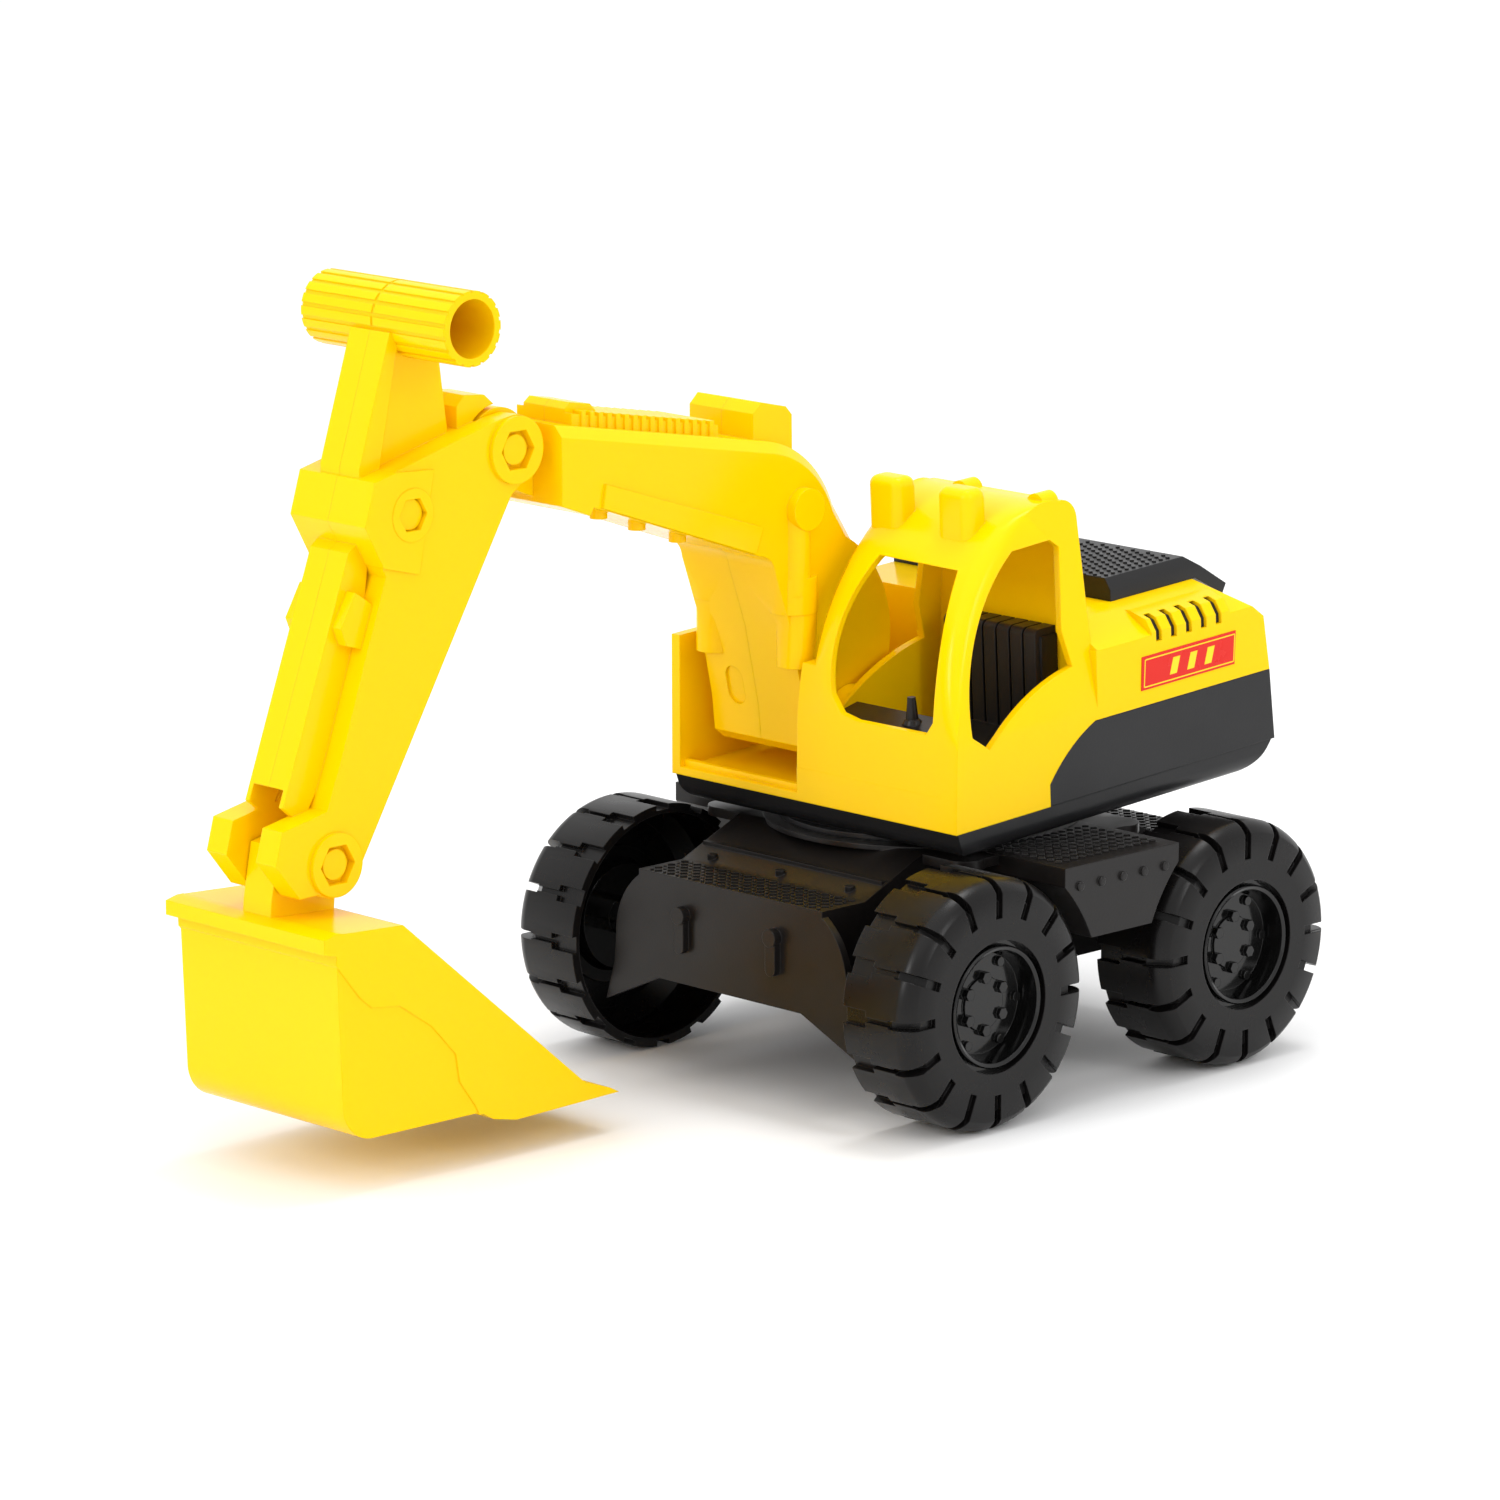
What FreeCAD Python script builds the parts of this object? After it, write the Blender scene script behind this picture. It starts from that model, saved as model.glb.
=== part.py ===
import FreeCAD, Part
import math
import os

# Toy excavator. Millimetres, +X towards the bucket, +Y the driver's left, +Z up.
# The origin is on the ground, midway between the axles, on the centre line.

V = FreeCAD.Vector

# ---- driving dimensions ----
WHEEL_R = 39.0
WHEEL_BASE = 111.8
TYRE_IN_Y = 59.3
TYRE_OUT_Y = 86.5
RIM_R = 18.9
LUGS = 16
AXLE_R = 2.5
AXLE_HALF = 79.0
RUN_GAP = 0.06

DECK_Z = 76.0
SPINE_HALF = 40.0
BASE_Z = 32.0
PLATE_X = 84.5
STEP_OUT_Y = 85.0
WALL = 2.4

HOUSE_LEAN_DEG = 3.35
LEAN_Z = 80.0
HOUSE_HALF = 62.0
HOUSE_FRONT = 48.6
HOUSE_REAR = -94.6
PAN_BOTTOM = 80.3
SHELL_BOTTOM = 89.5
PANEL_TOP = 112.4
LEDGE_Z = 134.0
HOOD_Z = 143.0
HOOD_HALF = 47.0
CAB_RIGHT = -6.5
RECESS_FLOOR = 92.0

ARM_Y = -31.6
BOOM_HALF = 20.7
STICK_HALF = 15.5
BUCKET_HALF = 35.6
BOOM_PIVOT = (22.0, 110.0)
STICK_PIVOT = (157.0, 208.3)
STICK_PEG = (198.6, 194.1)
BUCKET_PIVOT = (229.4, 94.3)
HANDLE = (188.0, 249.4)
HANDLE_R = 11.2
HANDLE_BORE = 8.7
HANDLE_HALF = 31.4
PIN_R = 3.0
TONGUE_HALF = 8.0
LUG_HALF = 6.2
JOINT_GAP = 0.4


# ---- small helpers ----
def outline(points, place):
    """Closed wire through points; a nested pair (mid, end) marks an arc."""
    edges = []
    here = points[0]
    for step in points[1:] + [points[0]]:
        if len(step) == 2 and isinstance(step[0], tuple):
            mid, end = step
            arc = Part.Arc(place(here), place(mid), place(end))
            edges.append(arc.toShape())
            here = end
        elif step != here:
            edges.append(Part.makeLine(place(here), place(step)))
            here = step
    return Part.Wire(edges)


def slab_xz(points, y0, y1):
    face = Part.Face(outline(points, lambda p: V(p[0], y0, p[1])))
    return face.extrude(V(0, y1 - y0, 0))


def slab_yz(points, x0, x1):
    face = Part.Face(outline(points, lambda p: V(x0, p[0], p[1])))
    return face.extrude(V(x1 - x0, 0, 0))


def slab_xy(points, z0, z1):
    face = Part.Face(outline(points, lambda p: V(p[0], p[1], z0)))
    return face.extrude(V(0, 0, z1 - z0))


def inset_xz(points, inset, y0, y1):
    """The same outline shrunk by inset, as a slab."""
    wire = outline(points, lambda p: V(p[0], y0, p[1]))
    small = wire.makeOffset2D(-inset, 2)
    return Part.Face(small).extrude(V(0, y1 - y0, 0))


def block(x0, x1, y0, y1, z0, z1):
    return Part.makeBox(x1 - x0, y1 - y0, z1 - z0, V(x0, y0, z0))


def rod_y(x, z, r, y0, y1):
    return Part.makeCylinder(r, y1 - y0, V(x, y0, z), V(0, 1, 0))


def rod_z(x, y, r, z0, z1):
    return Part.makeCylinder(r, z1 - z0, V(x, y, z0), V(0, 0, 1))


def rod_x(y, z, r, x0, x1):
    return Part.makeCylinder(r, x1 - x0, V(x0, y, z), V(1, 0, 0))


def hex_y(x, z, r, y0, y1):
    points = [(x + r * math.cos(math.radians(60 * k)), z + r * math.sin(math.radians(60 * k)))
              for k in range(6)]
    return slab_xz(points, y0, y1)


def ring_y(profile):
    """Revolve an (r, y) outline about the Y axis."""
    face = Part.Face(outline(profile, lambda p: V(p[0], p[1], 0)))
    return face.revolve(V(0, 0, 0), V(0, 1, 0), 360)


def join(shapes):
    whole = shapes[0].fuse(shapes[1:]) if len(shapes) > 1 else shapes[0]
    return whole.removeSplitter()


def rounded(shape, radius, wanted):
    edges = [e for e in shape.Edges if wanted(e)]
    return shape.makeFillet(radius, edges)


def mirrored(shape):
    return shape.mirror(V(0, 0, 0), V(0, 1, 0))


def lean(shape):
    """The house and all it holds sits nose down by the slack in its turntable."""
    shape = shape.copy()
    shape.rotate(V(0, 0, LEAN_Z), V(0, 1, 0), HOUSE_LEAN_DEG)
    return shape


def save(name, shape):
    solids = shape.Solids
    for solid in solids:
        assert solid.isValid() and solid.Volume > 0, name
    out = solids[0] if len(solids) == 1 else Part.makeCompound(solids)
    out.exportStep("parts/" + name + ".step")
    box = out.optimalBoundingBox(False)
    print("%-22s solids %2d volume %9.0f  x %7.1f %7.1f  y %6.1f %6.1f  z %6.1f %6.1f" % (
        name, len(solids), out.Volume, box.XMin, box.XMax, box.YMin, box.YMax, box.ZMin, box.ZMax))


# ---- wheels ----
def tyre():
    """Hollow tyre, open on its inner side, axis along Y through the origin."""
    bevel_r = 0.9 * WHEEL_R
    shoulder_y = TYRE_OUT_Y - 5.4
    skin = 3.0
    body = ring_y([
        (WHEEL_R - skin, TYRE_IN_Y), (WHEEL_R, TYRE_IN_Y), (WHEEL_R, shoulder_y),
        ((WHEEL_R - 1.2, shoulder_y + 3.0), (bevel_r, TYRE_OUT_Y)),
        (RIM_R + 1.6, TYRE_OUT_Y), (RIM_R + 1.6, TYRE_OUT_Y - skin),
        (bevel_r - 4.0, TYRE_OUT_Y - skin), (WHEEL_R - skin, shoulder_y - 3.4)])
    cuts = []
    for k in range(LUGS):
        turn = 360.0 / LUGS * k
        tread = block(-0.8, 0.8, TYRE_IN_Y + 9.0, TYRE_OUT_Y + 1, WHEEL_R - 1.9, WHEEL_R + 2)
        flank = block(-1.4, 1.4, TYRE_OUT_Y - 1.6, TYRE_OUT_Y + 1, 0.7 * WHEEL_R, WHEEL_R + 2)
        shoulder = slab_yz([
            (shoulder_y - 3.0, WHEEL_R - 1.9), (TYRE_OUT_Y - 1.6, bevel_r - 3.0),
            (TYRE_OUT_Y + 2, bevel_r - 3.0), (TYRE_OUT_Y + 2, WHEEL_R + 2),
            (shoulder_y - 3.0, WHEEL_R + 2)], -1.3, 1.3)
        wide = block(-2.6, 2.6, TYRE_IN_Y - 1, TYRE_IN_Y + 9.5, WHEEL_R - 1.8, WHEEL_R + 2)
        for cut in (tread, flank, shoulder, wide):
            cut.rotate(V(0, 0, 0), V(0, 1, 0), turn)
            cuts.append(cut)
    return body.cut(cuts)


def rim():
    """Dished wheel centre with six nuts, six outer bolts, a back flange and a sleeve for the axle."""
    floor_y = 79.6
    hub_y = 80.4
    dish = ring_y([
        (0, hub_y), (8.2, hub_y), (8.5, floor_y), (15.6, floor_y), (17.4, TYRE_OUT_Y - 0.6),
        (RIM_R - 0.5, TYRE_OUT_Y - 0.1), (RIM_R, TYRE_OUT_Y - 0.7), (RIM_R, TYRE_OUT_Y - 3.0),
        (RIM_R + 3.2, TYRE_OUT_Y - 3.0), (RIM_R + 3.2, TYRE_OUT_Y - 5.0), (18.2, TYRE_OUT_Y - 5.0),
        (16.8, floor_y - 2.0), (6.0, floor_y - 2.0), (6.0, TYRE_IN_Y - 0.8), (AXLE_R, TYRE_IN_Y - 0.8),
        (AXLE_R, AXLE_HALF), (0, AXLE_HALF)])
    extras = []
    for k in range(6):
        a = math.radians(60 * k + 30)
        extras.append(hex_y(8.2 * math.cos(a), 8.2 * math.sin(a), 1.9, floor_y - 0.5, hub_y + 1.4))
        a = math.radians(60 * k)
        extras.append(rod_y(13.8 * math.cos(a), 13.8 * math.sin(a), 1.5, floor_y - 0.5, floor_y + 1.3))
    return join([dish] + extras)


def make_wheels():
    left_tyre = tyre()
    left_rim = rim()
    for end, x in (("front", WHEEL_BASE / 2), ("rear", -WHEEL_BASE / 2)):
        for side in ("left", "right"):
            for kind, shape in (("tyre", left_tyre), ("rim", left_rim)):
                piece = shape.copy() if side == "left" else mirrored(shape)
                piece.translate(V(x, 0, WHEEL_R))
                save("%s_%s_%s" % (kind, end, side), piece)
        save("axle_" + end, rod_y(x, WHEEL_R, AXLE_R, -AXLE_HALF, AXLE_HALF))


# ---- undercarriage ----
SPINE = [(-PLATE_X, BASE_Z), (PLATE_X, BASE_Z), (PLATE_X, 65.3), (66.0, 65.3), (41.0, DECK_Z),
         (-41.0, DECK_Z), (-66.0, 65.3), (-PLATE_X, 65.3)]
STEP_FACE = [(-25.5, 76.4), (-25.5, 70.5), ((-18.5, 62.0), (-13.5, 53.0)), (13.5, 53.0),
             ((18.5, 62.0), (25.5, 70.5)), (25.5, 76.4)]
END_PLATE = [(-36.5, 65.3), ((-47.0, 56.0), (-50.5, 43.0)), (-51.2, 34.0), (-55.0, 21.3),
             (-31.0, BASE_Z), (31.0, BASE_Z), (55.0, 21.3), (51.2, 34.0),
             (50.5, 43.0), ((47.0, 56.0), (36.5, 65.3))]


def screw_places():
    return [(x, y) for x in (-70.0, 70.0) for y in (-28.0, 28.0)]


def side_step():
    """Left tread-plate step: a box open below and towards the spine."""
    outer = slab_xz(STEP_FACE, SPINE_HALF - 1, STEP_OUT_Y)
    inner = inset_xz(STEP_FACE, WALL, SPINE_HALF - 2, STEP_OUT_Y - WALL)
    below = block(-11.1, 11.1, SPINE_HALF - 2, STEP_OUT_Y - WALL, 50, 56)
    rivets = [rod_y(9.5 * k, 70.0, 1.5, STEP_OUT_Y - 1, STEP_OUT_Y + 1.0) for k in (-2, -1, 0, 1, 2)]
    rivets = [r.makeFillet(0.6, [e for e in r.Edges if e.CenterOfMass.y > STEP_OUT_Y]) for r in rivets]
    wing = [(-41, 38), (41, 38), (41, 50), ((38, 57), (31, 57)), (-31, 57), ((-38, 57), (-41, 50))]
    deck = slab_xy(wing, DECK_Z - 3.0, DECK_Z)
    return join([outer.cut([inner, below]), deck] + rivets)


def deck_rivets():
    """Round heads along the foot of both sloped decks."""
    heads = []
    for x in (-62.5, 62.5):
        for y in (-30.0, 0.0, 30.0):
            heads.append(rod_z(x, y, 1.6, 64.0, 68.0))
    return heads


def chassis_body():
    shell = slab_xz(SPINE, -SPINE_HALF, SPINE_HALF)
    hollow = inset_xz(SPINE, WALL, -SPINE_HALF + WALL, SPINE_HALF - WALL)
    under = block(-PLATE_X + WALL, PLATE_X - WALL, -SPINE_HALF + WALL, SPINE_HALF - WALL, BASE_Z - 1, 40)
    solid = shell.cut([hollow, under])
    plates = [slab_yz(END_PLATE, PLATE_X - 2.6, PLATE_X), slab_yz(END_PLATE, -PLATE_X, -PLATE_X + 2.6)]
    tubes = []
    bores = []
    for x in (WHEEL_BASE / 2, -WHEEL_BASE / 2):
        tubes.append(rod_y(x, WHEEL_R, 4.6, -57.5, 57.5))
        tubes.append(block(x - 2, x + 2, -SPINE_HALF + 1, SPINE_HALF - 1, WHEEL_R, 70))
        bores.append(rod_y(x, WHEEL_R, AXLE_R + RUN_GAP, -60, 60))
    hub = [rod_z(0, 0, 17.0, 62.0, DECK_Z), rod_z(0, 0, 50.0, DECK_Z - 1.0, DECK_Z + 0.6)]
    hub_cuts = [rod_z(0, 0, 13.0, 50.0, DECK_Z - 3.0), rod_z(0, 0, 11.2, 50.0, DECK_Z + 5)]
    ribs = slab_xz([(-41, 60), (41, 60), (41, 75), (-41, 75)], -1.2, 1.2)
    steps = [side_step(), mirrored(side_step())]
    screw_posts = [rod_z(x, y, 4.0, BASE_Z + 2.0, 64.0) for x, y in screw_places()]
    pegs = deck_rivets()
    for x0, x1 in ((PLATE_X - 1, PLATE_X + 3.0), (-PLATE_X - 3.0, -PLATE_X + 1)):
        for y in (-20.0, 20.0):
            pegs.append(rod_x(y, 54.0, 2.8, x0, x1))
            pegs.append(rod_x(y, 44.0, 2.1, x0, x1 - 0.6 if x1 > 0 else x1))
            pegs.append(block(x0, x1 - 0.6 if x1 > 0 else x1, y - 2.1, y + 2.1, 44.0, 54.0))
    whole = join([solid] + plates + tubes + hub + steps + [ribs] + screw_posts + pegs)
    pilot = [rod_z(x, y, 1.25, BASE_Z, 50.0) for x, y in screw_places()]
    tunnels = [rod_z(0, 0, 15.5, 50.0, 72.6)]
    return whole.cut(bores + hub_cuts + pilot + tunnels)


def base_plate():
    end = PLATE_X - 2.7
    side = SPINE_HALF - 2.5
    plate = block(-end, end, -side, side, BASE_Z, BASE_Z + 2.0)
    holes = [rod_z(x, y, 1.6, BASE_Z - 1, BASE_Z + 3) for x, y in screw_places()]
    service = rod_z(0, 0, 12.0, BASE_Z - 1, BASE_Z + 3)
    return plate.cut(holes + [service])


def screw(x, y, z, length, r):
    """Self-tapping screw with a cross slot, head underneath at z, shank going up."""
    head = Part.makeCone(r * 1.9, r * 2.2, 1.6, V(x, y, z - 1.6), V(0, 0, 1))
    shank = Part.makeCylinder(r, length, V(x, y, z - 0.2), V(0, 0, 1))
    reach = r * 1.4
    slot = block(x - reach, x + reach, y - 0.35, y + 0.35, z - 1.7, z - 1.0)
    cross = block(x - 0.35, x + 0.35, y - reach, y + reach, z - 1.7, z - 1.0)
    return head.fuse(shank).cut([slot, cross])


def make_undercarriage():
    save("chassis_body", chassis_body())
    save("chassis_base_plate", base_plate())
    screws = [screw(x, y, BASE_Z, 12.0, 1.2) for x, y in screw_places()]
    save("base_plate_screws", Part.makeCompound(screws))


# ---- house ----
PAN_SIDE = [(47.6, SHELL_BOTTOM), (46.4, 85.5), ((43.6, 82.0), (38.0, PAN_BOTTOM)),
            (-72.0, PAN_BOTTOM), ((-88.0, 83.0), (-95.4, SHELL_BOTTOM))]
PANEL_SIDE = [(7.0, SHELL_BOTTOM), (7.0, 96.5), ((-2.5, 105.8), (-14.0, PANEL_TOP)),
              (-110.0, PANEL_TOP), (-110.0, SHELL_BOTTOM)]
CAB_WAIST_Z = 116.0
CAB_WAIST_X = 46.9
CAB_REAR = -18.4
CAB_REAR_WAIST = -16.6
CAB_STEP_X = -15.2
ROOF_Z = 181.0
WINDOW_SIDE = [(39.9, 118.0), ((30.2, 151.0), (11.5, 169.4)), (-5.3, 169.8), (-8.8, 167.0),
               (-4.5, 142.0), (-7.0, 130.6), ((12.0, 125.4), (32.9, 113.0))]
WINDSCREEN = [(48.7, 118.6), (51.5, 122.6), ((50.2, 141.0), (44.5, 165.0)), (11.0, 165.3),
              ((6.6, 148.0), (8.2, 124.8)), (12.5, 119.7), (19.0, 118.4)]
LEDGE_CUT_Z = 132.4
CORNER_R = 9.0
CORNER_R_LEFT = 5.5
LAMP_TOP = 187.6
VENT_X = [-43.8 - 6.9 * k for k in range(5)]


def turntable_pan():
    """Black tray under the house, with the swing post below it."""
    half = HOUSE_HALF - 0.6
    section = [(-half, SHELL_BOTTOM), (-half, 86.0), ((-half + 1.6, 82.2), (-half + 5.6, PAN_BOTTOM)),
               (half - 5.6, PAN_BOTTOM), ((half - 1.6, 82.2), (half, 86.0)), (half, SHELL_BOTTOM)]
    outer = slab_xz(PAN_SIDE, -half, half).common(slab_yz(section, -100.0, 60.0))
    hollow = block(-86.0, 43.0, -half + 5.6, half - 5.6, PAN_BOTTOM + WALL, 91.0)
    wide = block(-88.0, 44.4, -half + WALL, half - WALL, 86.0, 91.0)
    skirt = rod_z(0, 0, 46.0, 79.7, PAN_BOTTOM + 1.0)
    post = rod_z(0, 0, 9.5, 71.0, PAN_BOTTOM + 1.0)
    pilot = rod_z(0, 0, 1.7, 60.0, 79.8)
    return join([outer.cut([hollow, wide]), skirt, post]).cut(pilot)


def house_outer():
    """Outer forms of the yellow shell, solid: the low body, the cab and the two vent blocks."""
    shoulder = slab_yz([
        (-HOUSE_HALF, SHELL_BOTTOM - 1), (-HOUSE_HALF, LEDGE_Z), (-HOOD_HALF, HOOD_Z),
        (HOOD_HALF, HOOD_Z), (HOUSE_HALF, LEDGE_Z), (HOUSE_HALF, SHELL_BOTTOM - 1)], -100.0, 60.0)
    hood_side = slab_xz([
        (60.0, SHELL_BOTTOM), (60.0, LEDGE_Z), (-16.0, LEDGE_Z), (-16.0, HOOD_Z), (-76.0, HOOD_Z),
        (-92.4, 130.0), (HOUSE_REAR, PANEL_TOP), (-96.2, SHELL_BOTTOM)], -HOUSE_HALF, HOUSE_HALF)
    front = slab_xz([
        (HOUSE_FRONT, SHELL_BOTTOM), (46.1, LEDGE_Z), (46.1, 150.0), (-100.0, 150.0),
        (-100.0, SHELL_BOTTOM)], -HOUSE_HALF, HOUSE_HALF)
    over_cab = block(CAB_STEP_X, 60.0, CAB_RIGHT, HOUSE_HALF + 1, 100.0, 200.0)
    body = hood_side.common(shoulder).common(front).cut(over_cab)
    vents = []
    for side in (-1, 1):
        wedge = slab_yz([
            (side * 40.0, 132.0), (side * HOUSE_HALF, 132.0), (side * HOUSE_HALF, 134.8),
            (side * 59.6, 138.6), (side * 53.0, 140.6), (side * 40.0, 141.0)], -76.5, -40.5)
        vents.append(wedge)
    return body, cab_form(0.0), vents


def cab_form(shrink):
    """The cab as a solid, shrunk by a wall thickness: a square base and an upper part with round corners."""
    y0 = CAB_RIGHT + shrink
    y1 = HOUSE_HALF - shrink
    floor = SHELL_BOTTOM + shrink
    rear = CAB_REAR + shrink
    low = slab_xz([(HOUSE_FRONT - shrink, floor), (CAB_WAIST_X - shrink, CAB_WAIST_Z),
                   (rear, CAB_WAIST_Z), (rear, floor)], y0, y1)
    sections = []
    for turn in (0, 30, 60, 90):
        sections.append(cab_section(shrink, turn, False))
    for turn in (90, 60, 30, 0):
        sections.append(cab_section(shrink, turn, True))
    high = Part.makeLoft(sections, True, True)
    if shrink:
        return join([low, high])
    corner = slab_xz([(CAB_WAIST_X, CAB_WAIST_Z), ((45.4, 125.0), (43.6, LEDGE_CUT_Z)),
                      (-10.0, LEDGE_CUT_Z), (-10.0, CAB_WAIST_Z)], CAB_RIGHT, CAB_RIGHT + CORNER_R)
    return join([low, high, corner])


def cab_section(shrink, turn, left):
    """Side outline of the upper cab at one angle round a front corner, in a plane along that side."""
    radius = (CORNER_R_LEFT if left else CORNER_R) - shrink * 0.6
    back = radius * (1 - math.sin(math.radians(turn)))
    inwards = radius * (1 - math.cos(math.radians(turn))) + shrink
    foot = 0.0 if left else back
    roof = ROOF_Z - shrink
    rear = CAB_REAR_WAIST + shrink
    points = [(CAB_WAIST_X - shrink - foot, CAB_WAIST_Z),
              ((39.0 - shrink - back, 147.0), (13.4 - shrink - back, 175.6 - shrink)),
              (8.0 - shrink - back * 0.7, roof - 2.6), ((-3.0, roof), (-12.0, roof - 0.4)),
              ((-16.4 + shrink * 0.6, roof - 1.8), (CAB_REAR + shrink, roof - 6.0)),
              (rear, 141.0), (rear, CAB_WAIST_Z)]

    def place(p):
        over_waist = (p[1] - CAB_WAIST_Z) / (178.0 - CAB_WAIST_Z)
        if left:
            return V(p[0], HOUSE_HALF - 10.0 * over_waist - inwards, p[1])
        return V(p[0], CAB_RIGHT + 3.0 * over_waist + inwards, p[1])
    return outline(points, place)


def vent_bar(side, grow):
    """Flat bar behind the vent slots of one side."""
    y0, y1 = sorted((side * (47.6 - grow), side * (50.0 + grow)))
    return block(-75.4 - grow, -41.4 + grow, y0, y1, 131.4 - grow, 139.6 + grow)


def vent_backing(side):
    """Dark insert of one side: the bar and a fin that stands in each vent slot, 1 mm below the skin."""
    profile = [(49.5, 131.7), (60.9, 131.7), (60.9, 134.5), (58.8, 137.7), (53.6, 139.3), (49.5, 139.3)]
    profile = [(side * y, z) for y, z in profile]
    fins = [slab_yz(profile, x - 1.2, x + 1.2) for x in VENT_X]
    return join([vent_bar(side, 0.0)] + fins)


def house_shell():
    body, cab, vents = house_outer()
    outer = join([body, cab] + vents)
    recess = block(-16.0, 60.0, -HOUSE_HALF + 3.6, CAB_RIGHT, RECESS_FLOOR, 200.0)
    low_hollow = block(-88.5, CAB_REAR, -57.0, 57.0, SHELL_BOTTOM - 1, PANEL_TOP)
    mid_hollow = slab_xz([
        (CAB_REAR, PANEL_TOP - 5), (CAB_REAR, LEDGE_Z - 2.4), (-88.5, LEDGE_Z - 6.0),
        (-88.5, PANEL_TOP - 5)], -59.4, 59.4)
    up_hollow = slab_yz([
        (-59.4, LEDGE_Z - 7), (-59.4, LEDGE_Z - 2.0), (-45.0, HOOD_Z - 2.4), (45.0, HOOD_Z - 2.4),
        (59.4, LEDGE_Z - 2.0), (59.4, LEDGE_Z - 7)], -72.0, -18.5)
    windows = [slab_xz(WINDOW_SIDE, y0, y1) for y0, y1 in ((CAB_RIGHT - 1, CAB_RIGHT + 8.0), (46.0, 64.0))]
    windscreen = slab_yz(WINDSCREEN, 16.0, 60.0)
    hollows = [recess, low_hollow, mid_hollow, up_hollow, cab_form(WALL), windscreen] + windows
    slots = []
    for side in (-1, 1):
        slots.append(vent_bar(side, 0.1))
        y0, y1 = sorted((side * 49.0, side * 64.0))
        for x in VENT_X:
            slots.append(block(x - 1.3, x + 1.3, y0, y1, 131.6, 139.4))
    ears = [rod_y(*house_pivot(), 9.0, -HOUSE_HALF + 3.0, ARM_Y - BOOM_HALF - JOINT_GAP),
            rod_y(*house_pivot(), 9.0, ARM_Y + BOOM_HALF + JOINT_GAP, CAB_RIGHT + 1.0)]
    shell = outer.cut(hollows + [panel_zone(0.0)] + slots)
    sill = block(44.4, 46.4, -HOUSE_HALF + 2.0, CAB_RIGHT + 1.0, 91.0, 94.0)
    shell = join([shell] + ears + roof_trim() + [sill])
    return shell.cut([rod_y(*house_pivot(), PIN_R + 0.02, -HOUSE_HALF - 1, CAB_RIGHT + 3.5)])


def roof_trim():
    """Two round-topped lamps over the windscreen and two knobs at the back of the roof."""
    trim = []
    for y in (5.5, 35.1):
        lamp = block(9.0, 18.6, y - 7.0, y + 7.0, 165.4, LAMP_TOP)
        lamp = rounded(lamp, 3.6, lambda e: e.Length > 20)
        lamp = rounded(lamp, 3.0, lambda e: abs(e.CenterOfMass.z - LAMP_TOP) < 0.1)
        trim.append(lamp)
    for y in (14.0, 46.0):
        trim.append(rod_x(y, 179.4, 3.6, -13.8, -7.0))
    return trim


def house_pivot():
    """Boom pivot in the level house frame, so that it lands on BOOM_PIVOT after the lean."""
    point = V(BOOM_PIVOT[0], 0, BOOM_PIVOT[1] - LEAN_Z)
    turn = FreeCAD.Rotation(V(0, 1, 0), -HOUSE_LEAN_DEG)
    point = turn.multVec(point)
    return point.x, point.z + LEAN_Z


def panel_zone(gap):
    """The band of skin that the black rear panel takes, on both sides and round the back."""
    inner = HOUSE_HALF - 2.6 + gap
    outer = HOUSE_HALF + 3.0
    side = inset_xz(PANEL_SIDE, gap, inner, outer) if gap else slab_xz(PANEL_SIDE, inner, outer)
    back = block(-110.0, -92.0 - gap, -outer, outer, SHELL_BOTTOM + gap, PANEL_TOP - gap)
    return join([side, mirrored(side), back])


def rear_panel():
    body, cab, _ = house_outer()
    return join([body, cab]).common(panel_zone(0.08))


def engine_cover():
    """Bevelled black lid on the hood, hollow below."""
    side = [(-38.5, HOOD_Z), (-38.5, 150.2), (-74.5, 150.2), (-91.8, 138.6), (-90.0, 135.6),
            (-77.5, HOOD_Z)]
    lid = slab_xz(side, -HOOD_HALF, HOOD_HALF)
    tops = slab_yz([
        (-HOOD_HALF, 130.0), (-HOOD_HALF, 146.5), (-HOOD_HALF + 2.2, 150.2), (HOOD_HALF - 2.2, 150.2),
        (HOOD_HALF, 146.5), (HOOD_HALF, 130.0)], -100.0, 0.0)
    lid = lid.common(tops)
    hollow = block(-74.0, -41.0, -HOOD_HALF + 2.6, HOOD_HALF - 2.6, HOOD_Z - 1, 147.6)
    return lid.cut(hollow)


def seat():
    """Backrest with seven padded ribs, and a cushion."""
    back = block(-13.8, -6.8, 7.0, 47.0, 92.2, 138.0)
    cushion = block(-6.9, 20.0, 9.0, 45.0, 92.2, 108.0)
    cushion = rounded(cushion, 3.0, lambda e: e.CenterOfMass.x > 19 and e.CenterOfMass.z > 107)
    ribs = []
    for k in range(7):
        y = 10.0 + 5.67 * k
        rib = block(-13.8, -4.6, y - 2.4, y + 2.4, 108.0, 140.4)
        ribs.append(rounded(rib, 2.2, lambda e: e.CenterOfMass.z > 140 and e.CenterOfMass.x > -5))
    return join([back, cushion] + ribs)


def console():
    """Dashboard below the windscreen with a lever and a short stub beside it."""
    desk = slab_xz([(43.2, 92.2), (42.6, 117.0), (31.0, 119.0), (31.0, 92.2)], 4.0, 50.0)
    lever = Part.makeCone(2.1, 1.3, 8.5, V(37.0, 33.5, 117.6), V(0, 0, 1))
    collar = Part.makeCone(3.2, 2.4, 1.6, V(37.0, 33.5, 117.6), V(0, 0, 1))
    stub = Part.makeCone(2.0, 1.6, 4.0, V(37.0, 45.5, 117.6), V(0, 0, 1))
    return join([desk, lever, collar, stub])


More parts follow.
